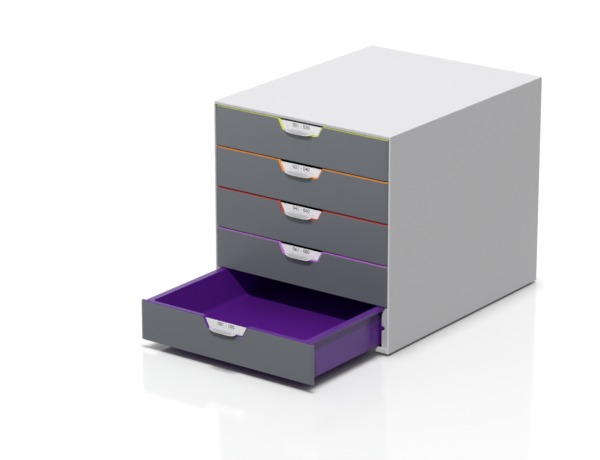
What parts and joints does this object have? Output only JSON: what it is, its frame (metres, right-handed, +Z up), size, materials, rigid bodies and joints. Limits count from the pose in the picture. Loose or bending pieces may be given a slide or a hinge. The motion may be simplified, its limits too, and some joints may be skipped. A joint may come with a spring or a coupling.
{
  "type": "plastic drawer tower",
  "caption": "Desktop drawer tower: light grey clipped plastic cabinet with sliding coloured trays, dark fronts, clear label windows with finger visors, and one drawer pulled open.",
  "frame": {"origin": "middle of the cabinet's footprint on the plane that its feet stand on; the open drawer isn't counted", "axes": "+Z up, -Y towards the drawer fronts, so drawers pull out along -Y, +X to the right of a person who faces the drawers"},
  "size_m": [0.28, 0.521, 0.292],
  "materials": {
    "grey_plastic": "fine satin grain",
    "grey_moulding": "satin",
    "dark_plastic": "fine satin grain",
    "lime_plastic": "smooth",
    "orange_plastic": "smooth",
    "red_plastic": "smooth",
    "lilac_plastic": "smooth",
    "purple_plastic": "smooth",
    "clear_plastic": "clear, polished",
    "label_card": "matt card",
    "foot_rubber": "matt"
  },
  "bodies": {
    "cabinet": {"top_panel": "grey_plastic", "left_side_panel": "grey_plastic", "right_side_panel": "grey_plastic", "base_panel": "grey_plastic", "back_panel": "grey_plastic", "left_runner_moulding": "grey_moulding", "right_runner_moulding": "grey_moulding", "stop_catches": "grey_moulding", "rubber_feet": "foot_rubber"},
    "drawer_1": {"tray_1": "lime_plastic", "drawer_front_1": "dark_plastic", "label_window_1": "clear_plastic", "label_card_1": "label_card"},
    "drawer_2": {"tray_2": "orange_plastic", "drawer_front_2": "dark_plastic", "label_window_2": "clear_plastic", "label_card_2": "label_card"},
    "drawer_3": {"tray_3": "red_plastic", "drawer_front_3": "dark_plastic", "label_window_3": "clear_plastic", "label_card_3": "label_card"},
    "drawer_4": {"tray_4": "lilac_plastic", "drawer_front_4": "dark_plastic", "label_window_4": "clear_plastic", "label_card_4": "label_card"},
    "drawer_5": {"tray_5": "purple_plastic", "drawer_front_5": "dark_plastic", "label_window_5": "clear_plastic", "label_card_5": "label_card"}
  },
  "joints": [
    {"name": "drawer_1_slide", "type": "slide", "parent": "cabinet", "child": "drawer_1", "axis": [0, -1, 0], "range_m": [0, 0.26]},
    {"name": "drawer_2_slide", "type": "slide", "parent": "cabinet", "child": "drawer_2", "axis": [0, -1, 0], "range_m": [0, 0.26]},
    {"name": "drawer_3_slide", "type": "slide", "parent": "cabinet", "child": "drawer_3", "axis": [0, -1, 0], "range_m": [0, 0.26]},
    {"name": "drawer_4_slide", "type": "slide", "parent": "cabinet", "child": "drawer_4", "axis": [0, -1, 0], "range_m": [0, 0.26]},
    {"name": "drawer_5_slide", "type": "slide", "parent": "cabinet", "child": "drawer_5", "axis": [0, -1, 0], "range_m": [-0.158, 0.102]}
  ]
}
